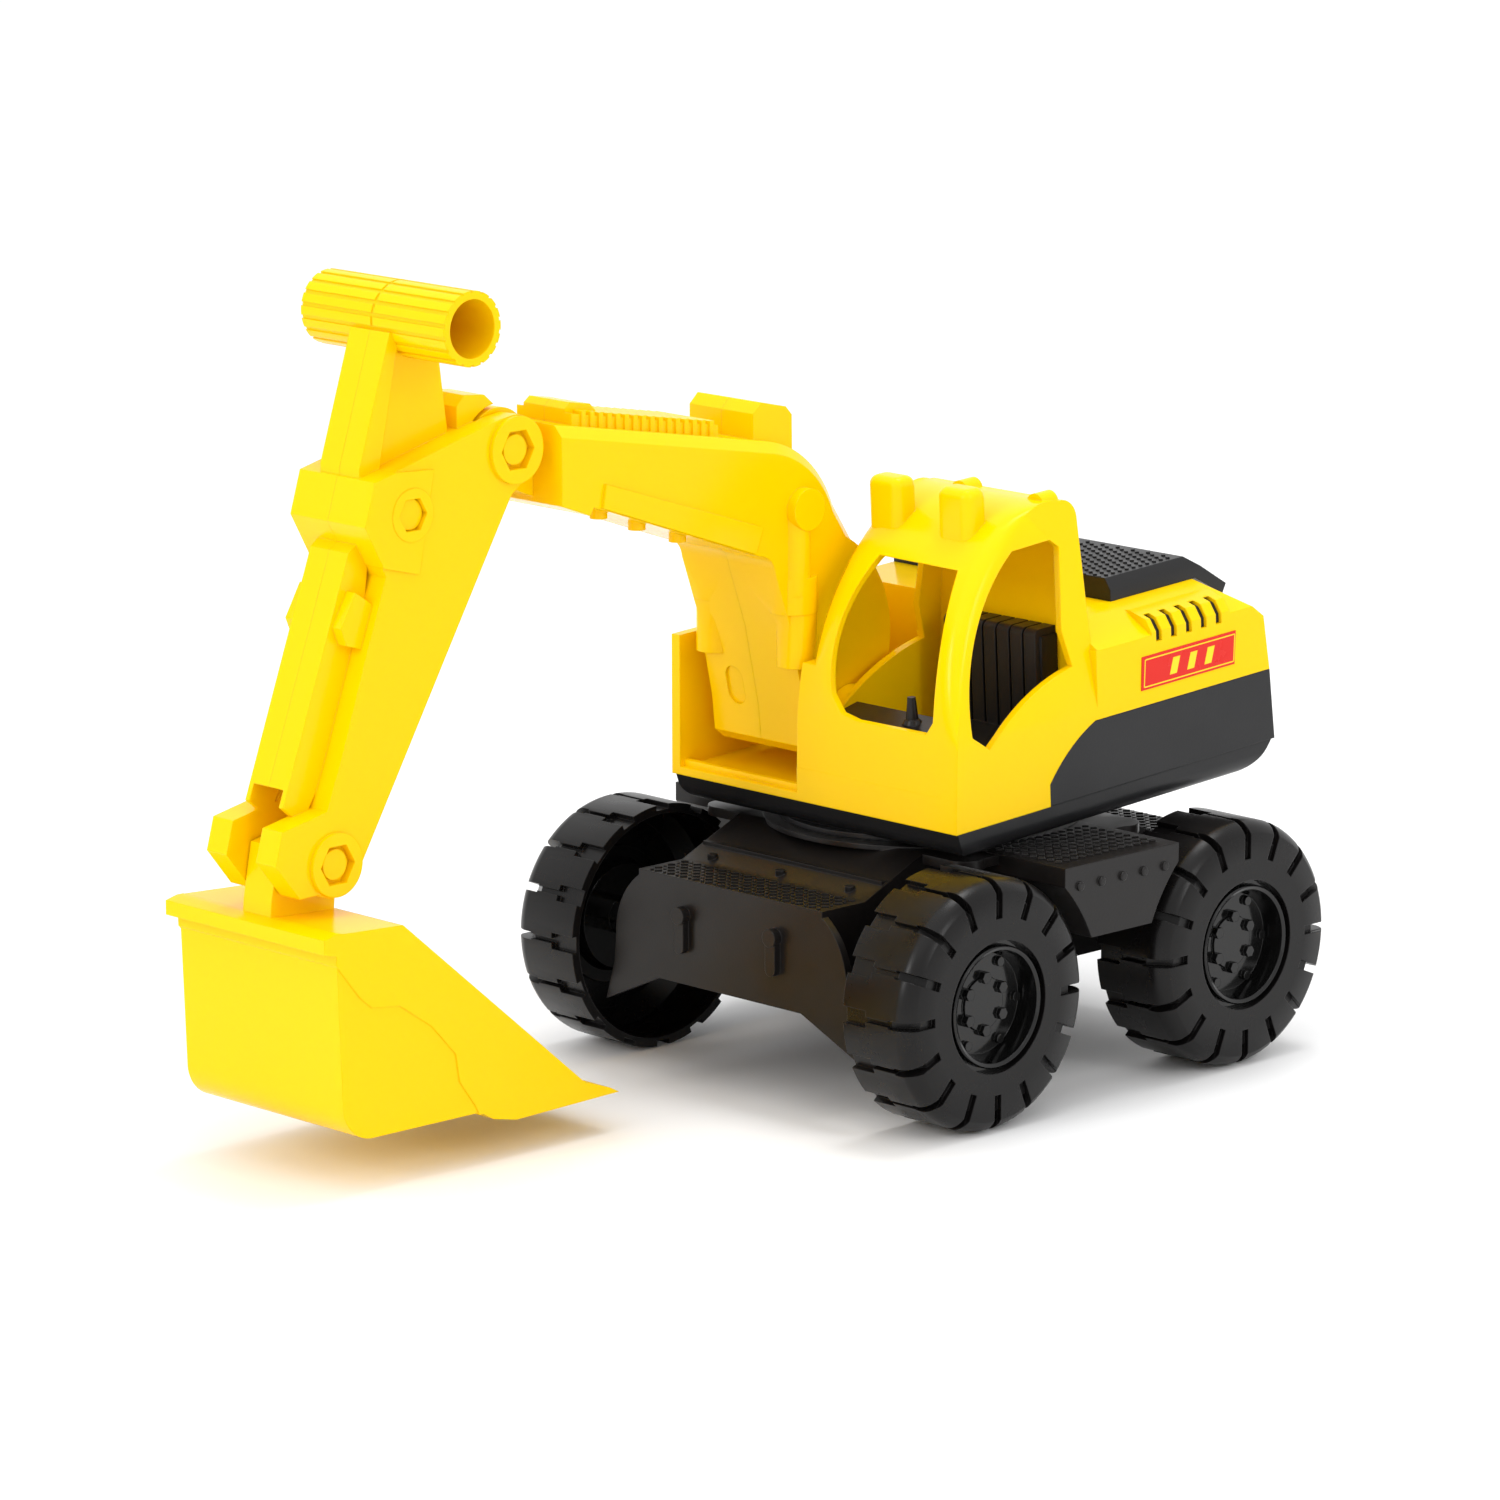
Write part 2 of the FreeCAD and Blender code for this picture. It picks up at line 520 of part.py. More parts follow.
def side_label(side):
    points = [(-35.6, 128.0), (-79.0, 128.0), (-78.0, 117.4), (-34.9, 117.4)]
    y0, y1 = sorted((side * HOUSE_HALF, side * (HOUSE_HALF + 0.25)))
    return slab_xz(points, y0, y1)


def make_house():
    save("turntable_pan", lean(turntable_pan()))
    washer = rod_z(0, 0, 13.5, 69.0, 71.0).cut(rod_z(0, 0, 1.9, 60, 80))
    save("swing_washer", lean(washer))
    save("swing_screw", lean(screw(0, 0, 69.0, 10.0, 1.6)))
    save("house_shell", lean(house_shell()))
    save("rear_panel", lean(rear_panel()))
    save("engine_cover", lean(engine_cover()))
    save("driver_seat", lean(seat()))
    save("control_console", lean(console()))
    save("vent_backing_left", lean(vent_backing(1)))
    save("vent_backing_right", lean(vent_backing(-1)))
    save("label_left", lean(side_label(1)))
    save("label_right", lean(side_label(-1)))
    save("boom_pivot_pin", rod_y(*BOOM_PIVOT, PIN_R, -HOUSE_HALF + 0.2, CAB_RIGHT + 2.0))


# ---- arm ----
BOOM = [(143.0, 214.2), (54.0, 198.6), ((38.0, 191.5), (26.0, 175.5)), (16.0, 160.5),
        ((6.0, 146.0), (4.0, 128.0)), (5.0, 106.0), ((8.0, 99.5), (14.0, 98.0)), (36.0, 98.0), (39.8, 101.0),
        (41.0, 112.0), (46.8, 138.0), (54.0, 158.0), ((56.5, 162.6), (61.0, 164.2)), (130.0, 188.2),
        (131.5, 185.8), (143.0, 190.0)]
BOOM_BEVEL_AT = [(98.5, 206.4), (38.5, 189.0), (21.0, 168.0)]
STICK = [(157.0, 218.8), (163.5, 217.9), (212.0, 205.4), (215.8, 192.6), (208.2, 176.5), (214.7, 158.7),
         (226.5, 124.6), (232.0, 110.5), (249.3, 107.0), (252.0, 97.2),
         (243.0, 86.0), (236.0, 86.2), ((229.5, 84.4), (220.9, 89.8)), (158.5, 195.0),
         (154.0, 198.2), ((146.5, 208.0), (157.0, 218.8))]
BOX = [(190.0, 206.5), (205.0, 207.4), (213.2, 205.4), (217.1, 192.6), (210.0, 179.7),
       (196.0, 176.0)]
FLANGE = [(196.0, 247.0), (199.8, 247.0), (212.2, 208.0), (212.2, 204.0), (205.0, 204.0)]
WEB = [(175.5, 214.0), (178.6, 236.0), (180.5, 247.0), (197.0, 247.0), (207.0, 216.0), (207.0, 204.0)]
HINGE_LUMP = [(158.0, 215.0), (158.0, 221.0), (162.0, 224.4), (170.0, 225.2), (173.0, 222.0),
              (173.0, 214.0)]
CYLINDER = [(208.0, 190.0), (216.6, 184.0), (217.6, 181.0), (243.0, 112.0), (236.0, 106.0),
            (214.0, 140.0)]
COLLAR = [(207.0, 166.0), (217.4, 173.0), (223.2, 163.0), (221.0, 157.6), (211.0, 154.5)]


def arm_slab(points, half):
    return slab_xz(points, ARM_Y - half, ARM_Y + half)


def arm_rod(centre, r, half):
    return rod_y(centre[0], centre[1], r, ARM_Y - half, ARM_Y + half)


KNOBS_BELOW = ((120.1, 186.4), (104.3, 180.9), (87.3, 175.0))


def side_cylinder(side):
    """Moulded hydraulic cylinder on one flank of the boom: top boss, rod, knuckle and barrel."""
    flank = ARM_Y + side * BOOM_HALF
    y0, y1 = sorted((flank - side * 1.0, flank + side * 3.5))
    return [rod_y(42.5, 176.8, 6.6, y0, y1), rod_z(44.0, flank - side * 1.5, 4.7, 150.0, 176.0),
            rod_z(42.4, flank - side * 4.0, 7.5, 144.0, 155.4),
            rod_z(42.0, flank - side * 2.9, 6.2, 127.0, 145.0)]


def boom_front_slot():
    """Shallow pill-shaped recess low on the sloping front face of the boom."""
    y = ARM_Y - 9.1
    pill = slab_yz([(y + 3.7, -2.6), (y + 3.7, 2.6), ((y, 6.3), (y - 3.7, 2.6)), (y - 3.7, -2.6),
                    ((y, -6.3), (y + 3.7, -2.6))], -0.8, 6.0)
    slope = math.degrees(math.atan2(46.8 - 41.0, 138.0 - 112.0))
    pill.rotate(V(0, 0, 0), V(0, 1, 0), slope)
    pill.translate(V(42.1, 0, 117.0))
    return pill


def boom_whole():
    body = arm_slab(BOOM, BOOM_HALF)
    rim_edges = [e for e in body.Edges if abs(abs(e.CenterOfMass.y - ARM_Y) - BOOM_HALF) < 0.1
                 and any(abs(e.CenterOfMass.x - x) < 4.0 and abs(e.CenterOfMass.z - z) < 4.0
                         for x, z in BOOM_BEVEL_AT)]
    body = body.makeChamfer(3.4, rim_edges)
    body = body.cut(arm_rod(STICK_PIVOT, 13.6, 30))
    tongue = join([arm_rod(STICK_PIVOT, 11.8, TONGUE_HALF),
                   arm_slab([(140.0, 213.8), (157.0, 219.5), (157.0, 197.0), (140.0, 190.5)], TONGUE_HALF)])
    hollow = inset_xz(BOOM, 3.0, ARM_Y - BOOM_HALF + WALL, ARM_Y + BOOM_HALF - WALL)
    hollow = hollow.cut(block(139.0, 160.0, -60.0, 0.0, 150.0, 230.0))
    solid = join([body.cut(hollow), tongue])
    foot = arm_rod(BOOM_PIVOT, 8.5, BOOM_HALF)
    strip = arm_slab([(131.0, 211.0), (131.0, 215.6), (70.0, 204.9), (70.0, 200.0)], 12.0)
    blocked = arm_slab([(57.0, 198.0), (57.0, 207.0), (53.5, 210.2), (43.0, 207.8), (40.4, 205.0),
                        (40.2, 190.0)], 14.0)
    lump = arm_slab([(131.0, 211.0), (131.0, 216.6), (128.6, 218.4), (120.6, 217.1), (117.0, 213.5),
                     (117.0, 209.0)], 9.0)
    ribs = []
    for k in range(16):
        x = 126.5 - 3.55 * k
        z = 214.8 - 3.55 * k * 0.175
        ribs.append(block(x - 0.9, x + 0.9, ARM_Y - 12.6, ARM_Y + 12.6, z - 4.0, z + 1.2))
    knobs = [rod_z(x, ARM_Y + 12.0, 2.7, z - 3.8, z + 6) for x, z in KNOBS_BELOW]
    ridge = []
    for side in (-1, 1):
        y0, y1 = sorted((ARM_Y + side * (BOOM_HALF - 1), ARM_Y + side * (BOOM_HALF + 1.0)))
        ridge.append(slab_xz([(125.8, 194.8), (127.0, 187.6), (63.0, 165.2), (60.0, 173.2)], y0, y1))
        ridge += side_cylinder(side)
    whole = join([solid, foot, strip, blocked, lump] + ribs + knobs + ridge)
    bores = [arm_rod(BOOM_PIVOT, PIN_R + RUN_GAP, 40), arm_rod(STICK_PIVOT, PIN_R + RUN_GAP, 30)]
    return whole.cut(bores + [boom_front_slot()])


def handle_tube():
    """Push handle: a tube with grip grooves along it and a seam at the middle."""
    tube = arm_rod(HANDLE, HANDLE_R, HANDLE_HALF)
    grooves = [ring_seam()]
    for k in range(18):
        groove = block(-0.55, 0.55, ARM_Y - 40, ARM_Y + 40, HANDLE_R - 0.5, HANDLE_R + 1)
        groove.rotate(V(0, 0, 0), V(0, 1, 0), 20.0 * k)
        groove.translate(V(HANDLE[0], 0, HANDLE[1]))
        grooves.append(groove)
    return tube.cut(grooves)


def ring_seam():
    outer = arm_rod(HANDLE, HANDLE_R + 1, 0.5)
    return outer.cut(arm_rod(HANDLE, HANDLE_R - 0.5, 1.0))


def stick_whole():
    body = arm_slab(STICK, STICK_HALF)
    hollow = inset_xz(STICK, 2.6, ARM_Y - STICK_HALF + WALL, ARM_Y + STICK_HALF - WALL)
    hollow = hollow.cut([arm_rod(STICK_PIVOT, 17.0, 30), arm_rod(BUCKET_PIVOT, 27.0, 30)])
    reliefs = [arm_slab(BOX, 16.6), arm_slab(FLANGE, 8.6), arm_slab(WEB, 6.4), arm_slab(HINGE_LUMP, 7.6),
               arm_slab(CYLINDER, 8.4), arm_slab(COLLAR, 12.4)]
    rings = []
    for side in (-1, 1):
        for centre, r in ((STICK_PIVOT, 10.2), (STICK_PEG, 8.0), (BUCKET_PIVOT, 9.6)):
            y0, y1 = sorted((ARM_Y + side * (STICK_HALF - 1), ARM_Y + side * (STICK_HALF + 1.4)))
            rings.append(rod_y(centre[0], centre[1], r, y0, y1))
    posts = [arm_rod(STICK_PEG, 5.0, STICK_HALF)]
    whole = join([body.cut(hollow), handle_tube()] + reliefs + rings + posts)
    top_half = TONGUE_HALF + JOINT_GAP
    low_half = LUG_HALF + JOINT_GAP
    behind = [(157.0, 196.0), (157.0, 225.0), (130.0, 225.0), (130.0, 180.0), (152.0, 180.0)]
    slot_top = join([arm_rod(STICK_PIVOT, 13.0, top_half), arm_slab(behind, top_half)])
    below = [(203.0, 80.0), (260.0, 80.0), (260.0, 103.0), (224.0, 110.0)]
    slot_low = join([arm_rod(BUCKET_PIVOT, 25.5, low_half), arm_slab(below, low_half)])
    slot_low = slot_low.common(block(200, 270, -60, 0, 60, 117))
    bores = [arm_rod(STICK_PIVOT, PIN_R + RUN_GAP, 40), arm_rod(BUCKET_PIVOT, PIN_R + RUN_GAP, 40),
             arm_rod(HANDLE, HANDLE_BORE, 40), arm_rod(STICK_PEG, PIN_R + RUN_GAP, 40)]
    sockets = []
    for side in (-1, 1):
        for centre, r in ((STICK_PIVOT, 6.6), (STICK_PEG, 5.4), (BUCKET_PIVOT, 6.6)):
            y0, y1 = sorted((ARM_Y + side * (STICK_HALF - 1.6), ARM_Y + side * (STICK_HALF + 3)))
            sockets.append(hex_y(centre[0], centre[1], r, y0, y1))
    return whole.cut([slot_top, slot_low] + bores + sockets)


def halves(name, whole):
    """Split a moulded arm into its left and right shells on the arm's middle plane."""
    left = whole.common(block(-50, 300, ARM_Y, 40, 0, 300))
    right = whole.common(block(-50, 300, -110, ARM_Y, 0, 300))
    save(name + "_left_shell", left)
    save(name + "_right_shell", right)


def pin(centre, half):
    shaft = arm_rod(centre, PIN_R, half)
    caps = []
    for side in (-1, 1):
        y0, y1 = sorted((ARM_Y + side * (half - 1.5), ARM_Y + side * half))
        caps.append(rod_y(centre[0], centre[1], 4.6, y0, y1))
    return join([shaft] + caps)


BUCKET = [(220.9, 78.2), (247.0, 79.6), (245.0, 28.0), ((242.5, 20.5), (234.0, 15.8)), (190.0, 15.4),
          (185.8, 13.0), (176.6, 11.1), (134.8, 11.9), (138.6, 13.9), (148.8, 17.4)]
BUCKET_STEP = [(260.0, 70.5), (246.5, 70.0), (237.9, 59.4), (233.3, 55.5), (222.5, 54.2), (210.1, 45.9),
               (200.7, 35.7), (199.2, 26.9), (193.0, 18.4), (188.5, 10.0), (260.0, 10.0)]
STEP_DEPTH = 0.5


def bucket():
    behind = arm_slab(BUCKET_STEP, BUCKET_HALF + 1)
    edge_zone = arm_slab(BUCKET, BUCKET_HALF).cut(behind)
    back_zone = inset_xz(BUCKET, STEP_DEPTH, ARM_Y - BUCKET_HALF + STEP_DEPTH,
                         ARM_Y + BUCKET_HALF - STEP_DEPTH).common(behind)
    outer = join([edge_zone, back_zone])
    inner = slab_xz([(224.0, 77.0), (244.2, 77.0), (242.2, 29.0), ((240.0, 23.0), (232.6, 18.6)),
                     (188.0, 18.2), (176.0, 14.2), (139.0, 14.0), (130.0, 40.0), (190.0, 90.0)],
                    ARM_Y - BUCKET_HALF + WALL, ARM_Y + BUCKET_HALF - WALL)
    lip = arm_slab([(247.0, 79.6), (251.3, 78.6), (251.3, 74.2), (247.0, 73.2), (244.5, 73.2),
                    (244.5, 79.6)], BUCKET_HALF)
    lug = join([arm_rod(BUCKET_PIVOT, 9.0, LUG_HALF),
                arm_slab([(220.6, 92.0), (222.0, 77.4), (246.6, 77.4), (246.0, 84.0), (243.0, 100.0),
                          (236.0, 101.5)], LUG_HALF)])
    whole = join([outer.cut(inner), lip, lug])
    return whole.cut(arm_rod(BUCKET_PIVOT, PIN_R + RUN_GAP, 20))


def make_arm():
    halves("boom", boom_whole())
    halves("stick", stick_whole())
    save("stick_pivot_pin", pin(STICK_PIVOT, STICK_HALF))
    save("stick_peg", pin(STICK_PEG, STICK_HALF))
    save("bucket_pivot_pin", pin(BUCKET_PIVOT, STICK_HALF))
    save("bucket", bucket())


os.makedirs("parts", exist_ok=True)
make_wheels()
make_undercarriage()
make_house()
make_arm()
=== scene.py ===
import math

import bmesh
import bpy
from mathutils import Matrix, Vector


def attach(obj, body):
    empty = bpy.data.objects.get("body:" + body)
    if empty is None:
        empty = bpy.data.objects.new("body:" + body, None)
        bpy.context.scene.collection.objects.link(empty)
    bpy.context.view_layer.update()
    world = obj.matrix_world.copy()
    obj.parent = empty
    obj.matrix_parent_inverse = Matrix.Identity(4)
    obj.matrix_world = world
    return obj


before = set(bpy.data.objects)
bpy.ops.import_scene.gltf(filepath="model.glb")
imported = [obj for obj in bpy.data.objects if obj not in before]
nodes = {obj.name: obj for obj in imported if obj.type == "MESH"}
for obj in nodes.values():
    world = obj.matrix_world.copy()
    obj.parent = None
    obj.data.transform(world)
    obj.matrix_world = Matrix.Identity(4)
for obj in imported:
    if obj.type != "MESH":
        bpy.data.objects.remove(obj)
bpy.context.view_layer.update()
scene = bpy.context.scene
MM = 0.001

# The house stands nose down by the slack in its turntable: it is turned by LEAN about a line
# along Y at the height LEAN_Z (mm).
LEAN = math.radians(3.35)
LEAN_Z = 80.0

# Vertices closer than this (m) are joined, and edges sharper than this angle stay crisp.
WELD_DISTANCE = 0.00002
CRISP_ANGLE = math.radians(32)

# Plastics: the band of the noise that is spread over a material's range of roughness.
NOISE_BAND = (0.35, 0.65)
PATCH_SCALE = 60.0
METAL_PATCH_SCALE = 300.0
GRAIN_DEPTH = 0.0002
EDGE_SAMPLES = 6
PLASTIC_IOR = 1.49
SCATTER_RADIUS = (1.0, 0.55, 0.05)
SCATTER_SCALE = 0.004

# Moulded details, in mm. Starts and pitches are (x, y), counts are (along x, along y), and
# halves are half a stud's, bar's or lozenge's length and width.
DIAGONAL = math.radians(45)

STUD_START = (-21.0, 50.0)
STUD_PITCH = 3.5
STUD_COUNT = (13, 9)
STUD_HALF = (1.0, 1.0)
STUD_HEIGHT = 0.75
STEP_TOP = 76.2

TREAD_START = (68.3, -36.4)
TREAD_PITCH = 2.8
TREAD_COUNT = (6, 27)
TREAD_HALF = (1.15, 0.5)
TREAD_HEIGHT = 0.7
DECK_TOP = 65.1

LOZENGE_START = (-72.0, -42.0)
LOZENGE_PITCH = (3.15, 3.23)
LOZENGE_STAGGER = 1.57
LOZENGE_COUNT = (11, 27)
LOZENGE_HALF = (1.25, 0.62)
LOZENGE_HEIGHT = 0.55
COVER_TOP = 150.1

# The label's graphic, in mm: u runs along X, v is the height.
INK_FACE = 62.2
INK_DEPTH = 0.08
LINE_HALF = 0.2
BORDER_LOW = 118.3
BORDER_HIGH = 126.9
BORDER_ENDS = (-36.2, -77.6)
BORDER_LEAN = 0.8
BORDER_MIDDLE = -56.9
BORDER_HALF = 20.6
SLANT_SLOPE = -0.09
SLANT_FOOT = 117.4
BAR_COUNT = 3
BAR_START = -48.0
BAR_PITCH = -8.0
BAR_WIDTH = -3.2
BAR_LOW = 120.0
BAR_HIGH = 125.2
BAR_LEAN = 1.8

# Stage, in m.
FLOOR_HALF = 9.0
FLOOR_Z = -0.0002
LIT_POINT = (0.06, 0.0, 0.11)
CAMERA_PLACE = (1.5349, 1.4887, 0.5609)
CAMERA_TARGET = (0.85086, 0.79087, 0.34843)


# ---------------------------------------------------------------- materials
def new_material(name):
    mat = bpy.data.materials.new(name)
    mat.use_nodes = True
    tree = mat.node_tree
    tree.nodes.clear()
    out = tree.nodes.new("ShaderNodeOutputMaterial")
    bsdf = tree.nodes.new("ShaderNodeBsdfPrincipled")
    tree.links.new(bsdf.outputs["BSDF"], out.inputs["Surface"])
    return mat, tree, bsdf


def add_noise(tree, scale, detail):
    coord = tree.nodes.new("ShaderNodeTexCoord")
    noise = tree.nodes.new("ShaderNodeTexNoise")
    noise.inputs["Scale"].default_value = scale
    noise.inputs["Detail"].default_value = detail
    tree.links.new(coord.outputs["Object"], noise.inputs["Vector"])
    return noise


def vary_roughness(tree, bsdf, rough, scale):
    """Soft patches of more and less gloss, as on handled plastic."""
    noise = add_noise(tree, scale, 5.0)
    spread = tree.nodes.new("ShaderNodeMapRange")
    spread.inputs["From Min"].default_value = NOISE_BAND[0]
    spread.inputs["From Max"].default_value = NOISE_BAND[1]
    spread.inputs["To Min"].default_value = rough[0]
    spread.inputs["To Max"].default_value = rough[1]
    tree.links.new(noise.outputs["Fac"], spread.inputs["Value"])
    tree.links.new(spread.outputs["Result"], bsdf.inputs["Roughness"])


def add_grain(tree, bsdf, grain, edge_mm):
    """The fine grain of the mould, over softly rounded edges. grain is (scale, strength)."""
    noise = add_noise(tree, grain[0], 3.0)
    bump = tree.nodes.new("ShaderNodeBump")
    bump.inputs["Strength"].default_value = grain[1]
    bump.inputs["Distance"].default_value = GRAIN_DEPTH
    tree.links.new(noise.outputs["Fac"], bump.inputs["Height"])
    if edge_mm:
        soft_edge = tree.nodes.new("ShaderNodeBevel")
        soft_edge.samples = EDGE_SAMPLES
        soft_edge.inputs["Radius"].default_value = edge_mm * MM
        tree.links.new(soft_edge.outputs["Normal"], bump.inputs["Normal"])
    tree.links.new(bump.outputs["Normal"], bsdf.inputs["Normal"])


def plastic(name, color, rough, grain, specular, edge_mm=0.0, subsurface=0.0):
    mat, tree, bsdf = new_material(name)
    bsdf.inputs["Base Color"].default_value = (*color, 1.0)
    bsdf.inputs["IOR"].default_value = PLASTIC_IOR
    bsdf.inputs["Specular IOR Level"].default_value = specular
    vary_roughness(tree, bsdf, rough, PATCH_SCALE)
    add_grain(tree, bsdf, grain, edge_mm)
    if subsurface:
        bsdf.inputs["Subsurface Weight"].default_value = subsurface
        bsdf.inputs["Subsurface Radius"].default_value = SCATTER_RADIUS
        bsdf.inputs["Subsurface Scale"].default_value = SCATTER_SCALE
    return mat


def metal(name, color, rough):
    mat, tree, bsdf = new_material(name)
    bsdf.inputs["Base Color"].default_value = (*color, 1.0)
    bsdf.inputs["Metallic"].default_value = 1.0
    vary_roughness(tree, bsdf, rough, METAL_PATCH_SCALE)
    return mat


YELLOW = (0.96, 0.60, 0.0)
YELLOW_ARM = plastic("yellow_arm", YELLOW, rough=(0.16, 0.22), grain=(900.0, 0.03),
                     specular=0.12, edge_mm=0.5, subsurface=0.15)
YELLOW_HOUSE = plastic("yellow_house", YELLOW, rough=(0.16, 0.22), grain=(900.0, 0.03),
                       specular=0.12, edge_mm=0.5, subsurface=0.1)
BLACK_TYRE = plastic("black_tyre", (0.0045, 0.004, 0.004), rough=(0.24, 0.34),
                     grain=(1500.0, 0.08), specular=0.24, edge_mm=0.4)
BLACK_RIM = plastic("black_rim", (0.003, 0.003, 0.003), rough=(0.10, 0.16),
                    grain=(500.0, 0.02), specular=0.40, edge_mm=0.3)
BLACK_BODY = plastic("black_body", (0.008, 0.0068, 0.0065), rough=(0.28, 0.38),
                     grain=(1500.0, 0.12), specular=0.28, edge_mm=0.4)
BLACK_PAN = plastic("black_pan", (0.011, 0.011, 0.012), rough=(0.32, 0.42),
                    grain=(1800.0, 0.14), specular=0.30, edge_mm=0.5)
STEEL = metal("zinc_steel", (0.62, 0.62, 0.63), rough=(0.25, 0.4))
LABEL = plastic("label_red", (0.70, 0.02, 0.012), rough=(0.22, 0.30),
                grain=(400.0, 0.02), specular=0.2)
LABEL_INK = plastic("label_ink", (1.0, 0.68, 0.02), rough=(0.25, 0.32),
                    grain=(400.0, 0.02), specular=0.2)

# A node takes the first material whose word its name starts with.
PAINT = (
    ("tyre", BLACK_TYRE),
    ("rim", BLACK_RIM),
    ("chassis", BLACK_BODY),
    ("turntable", BLACK_PAN),
    ("rear_panel", BLACK_PAN),
    ("engine_cover", BLACK_PAN),
    ("driver_seat", BLACK_PAN),
    ("control_console", BLACK_BODY),
    ("vent_backing", BLACK_PAN),
    ("house_shell", YELLOW_HOUSE),
    ("label", LABEL),
    ("boom_pivot", STEEL),
    ("boom", YELLOW_ARM),
    ("stick", YELLOW_ARM),
    ("bucket", YELLOW_ARM),
)


def paint_of(name):
    for start, mat in PAINT:
        if name.startswith(start):
            return mat
    return STEEL


def crisp_edges(obj):
    """Smooth curved faces with sharp corners between them, which the materials soften."""
    weld = obj.modifiers.new("weld", "WELD")
    weld.merge_threshold = WELD_DISTANCE
    split = obj.modifiers.new("crisp", "EDGE_SPLIT")
    split.split_angle = CRISP_ANGLE


def finish_nodes():
    for name, obj in nodes.items():
        obj.data.materials.clear()
        obj.data.materials.append(paint_of(name))
        for poly in obj.data.polygons:
            poly.use_smooth = True
        crisp_edges(obj)


finish_nodes()


# ---------------------------------------------------------------- small moulded details
def lean_matrix():
    pivot = Matrix.Translation((0.0, 0.0, LEAN_Z * MM))
    return pivot @ Matrix.Rotation(LEAN, 4, "Y") @ pivot.inverted()


def add_prism(bm, points, place, depth):
    """A raised or thin slab: points are (u, v) in mm, place turns (u, v, w) into a point in mm."""
    low = [bm.verts.new(Vector(place(u, v, 0.0)) * MM) for u, v in points]
    high = [bm.verts.new(Vector(place(u, v, depth)) * MM) for u, v in points]
    bm.faces.new(low)
    bm.faces.new(high)
    count = len(points)
    for k in range(count):
        nxt = (k + 1) % count
        bm.faces.new((low[k], low[nxt], high[nxt], high[k]))


def level(z):
    """A place for add_prism: flat on a surface at height z."""
    return lambda u, v, w: (u, v, z + w)


def rect(u, v, half, turn=0.0):
    """The corners of a rectangle about (u, v), from its half length and half width."""
    c, s = math.cos(turn), math.sin(turn)
    du, dv = half
    return [(u + x * c - y * s, v + x * s + y * c)
            for x, y in ((-du, -dv), (du, -dv), (du, dv), (-du, dv))]


def slanted_bar(u, width, low, high, lean):
    """The corners of a bar from height low to high, whose top is set back by lean."""
    return [(u, low), (u + width, low), (u + width - lean, high), (u - lean, high)]


def finish_piece(name, bm, mat, body, leaned=False):
    bmesh.ops.recalc_face_normals(bm, faces=bm.faces)
    mesh = bpy.data.meshes.new(name)
    bm.to_mesh(mesh)
    bm.free()
    if leaned:
        mesh.transform(lean_matrix())
    obj = bpy.data.objects.new(name, mesh)
    scene.collection.objects.link(obj)
    mesh.materials.append(mat)
    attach(obj, body)
    return obj


def step_studs(side):
    """Anti-slip studs on top of one side step."""
    bm = bmesh.new()
    for i in range(STUD_COUNT[0]):
        for k in range(STUD_COUNT[1]):
            x = STUD_START[0] + STUD_PITCH * i
            y = side * (STUD_START[1] + STUD_PITCH * k)
            add_prism(bm, rect(x, y, STUD_HALF, DIAGONAL), level(STEP_TOP), STUD_HEIGHT)
    word = "left" if side > 0 else "right"
    finish_piece("step_studs_" + word, bm, BLACK_BODY, "chassis")


def end_tread(end):
    """Tread-plate bars along the flat strip over the end plate."""
    bm = bmesh.new()
    for i in range(TREAD_COUNT[0]):
        for k in range(TREAD_COUNT[1]):
            x = end * (TREAD_START[0] + TREAD_PITCH * i)
            y = TREAD_START[1] + TREAD_PITCH * k
            turn = DIAGONAL if (i + k) % 2 else -DIAGONAL
            add_prism(bm, rect(x, y, TREAD_HALF, turn), level(DECK_TOP), TREAD_HEIGHT)
    word = "front" if end > 0 else "rear"
    finish_piece("end_tread_" + word, bm, BLACK_BODY, "chassis")


def cover_texture():
    """Raised lozenges on top of the engine cover, every other row set forward."""
    bm = bmesh.new()
    for i in range(LOZENGE_COUNT[0]):
        for k in range(LOZENGE_COUNT[1]):
            stagger = 0.0 if k % 2 else LOZENGE_STAGGER
            x = LOZENGE_START[0] + LOZENGE_PITCH[0] * i + stagger
            y = LOZENGE_START[1] + LOZENGE_PITCH[1] * k
            add_prism(bm, rect(x, y, LOZENGE_HALF, DIAGONAL), level(COVER_TOP), LOZENGE_HEIGHT)
    finish_piece("cover_lozenges", bm, BLACK_PAN, "house", True)


def label_graphic(side):
    """A plain border and three slanted bars, printed on the label."""
    bm = bmesh.new()

    def place(u, v, w):
        return u, side * (INK_FACE + w), v

    for v in (BORDER_LOW, BORDER_HIGH):
        u = BORDER_MIDDLE + SLANT_SLOPE * (v - SLANT_FOOT)
        add_prism(bm, rect(u, v, (BORDER_HALF, LINE_HALF)), place, INK_DEPTH)
    for u in BORDER_ENDS:
        line = slanted_bar(u - LINE_HALF, 2 * LINE_HALF, BORDER_LOW, BORDER_HIGH, BORDER_LEAN)
        add_prism(bm, line, place, INK_DEPTH)
    for k in range(BAR_COUNT):
        bar = slanted_bar(BAR_START + BAR_PITCH * k, BAR_WIDTH, BAR_LOW, BAR_HIGH, BAR_LEAN)
        add_prism(bm, bar, place, INK_DEPTH)
    word = "left" if side > 0 else "right"
    finish_piece("label_bars_" + word, bm, LABEL_INK, "house", True)


for side in (1, -1):
    step_studs(side)
    end_tread(side)
    label_graphic(side)
cover_texture()


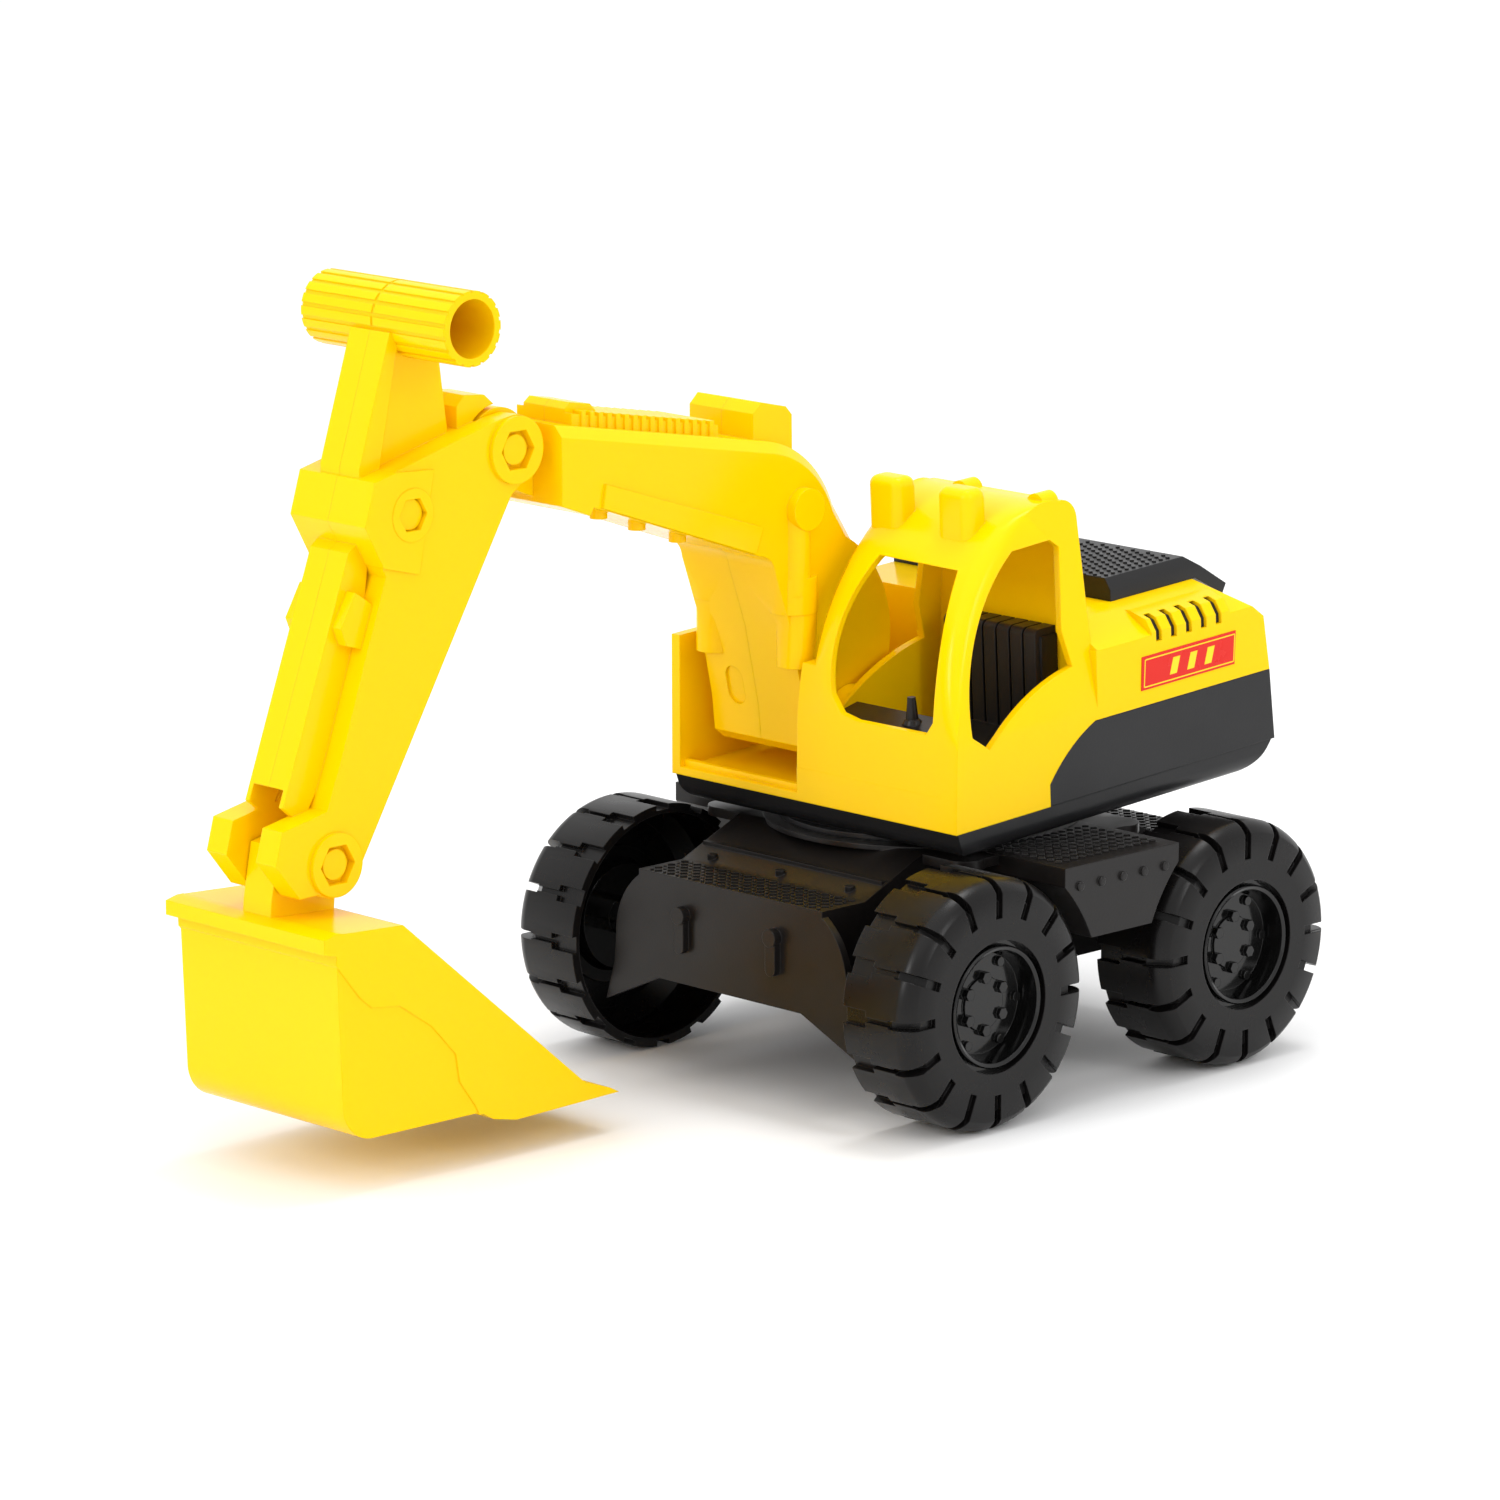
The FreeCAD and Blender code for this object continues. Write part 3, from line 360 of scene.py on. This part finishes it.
# ---------------------------------------------------------------- stage
def floor_plane(half, z):
    bm = bmesh.new()
    corners = ((-1, -1), (1, -1), (1, 1), (-1, 1))
    bm.faces.new([bm.verts.new((sx * half, sy * half, z)) for sx, sy in corners])
    mesh = bpy.data.meshes.new("floor")
    bm.to_mesh(mesh)
    bm.free()
    obj = bpy.data.objects.new("floor", mesh)
    scene.collection.objects.link(obj)
    mat, _, bsdf = new_material("floor_white")
    bsdf.inputs["Base Color"].default_value = (0.90, 0.90, 0.90, 1.0)
    bsdf.inputs["Roughness"].default_value = 0.55
    bsdf.inputs["Specular IOR Level"].default_value = 0.2
    mesh.materials.append(mat)


def aim(obj, location, target):
    """Link a light or camera that stands at location and looks at target."""
    obj.location = location
    obj.rotation_mode = "QUATERNION"
    obj.rotation_quaternion = (Vector(target) - Vector(location)).to_track_quat("-Z", "Y")
    scene.collection.objects.link(obj)


def area_light(name, location, size, power):
    light = bpy.data.lights.new(name, "AREA")
    light.shape = "RECTANGLE"
    light.size, light.size_y = size
    light.energy = power
    aim(bpy.data.objects.new(name, light), location, LIT_POINT)


def sun_light(name, location, strength, spread):
    light = bpy.data.lights.new(name, "SUN")
    light.energy = strength
    light.angle = math.radians(spread)
    aim(bpy.data.objects.new(name, light), location, (0.0, 0.0, 0.0))


floor_plane(FLOOR_HALF, FLOOR_Z)
sun_light("sky_soft", (0.5, 0.2, 2.0), 0.55, 70)
area_light("key_left", (1.9, -0.1, 1.0), (0.35, 0.8), 9)
area_light("key_right", (0.1, 1.8, 1.1), (0.35, 0.8), 6)
area_light("key_top", (-0.3, 0.0, 1.7), (0.6, 0.5), 7)

world = bpy.data.worlds.new("studio")
scene.world = world
world.use_nodes = True
background = world.node_tree.nodes["Background"]
background.inputs["Color"].default_value = (1.0, 1.0, 1.0, 1.0)
background.inputs["Strength"].default_value = 1.0
scene.view_settings.view_transform = "Standard"

# ---------------------------------------------------------------- camera
camera = bpy.data.cameras.new("camera")
camera.lens = 168.0
camera.sensor_width = 36.0
camera.clip_start = 0.05
camera.clip_end = 50.0
aim(bpy.data.objects.new("camera", camera), CAMERA_PLACE, CAMERA_TARGET)
scene.camera = scene.objects["camera"]
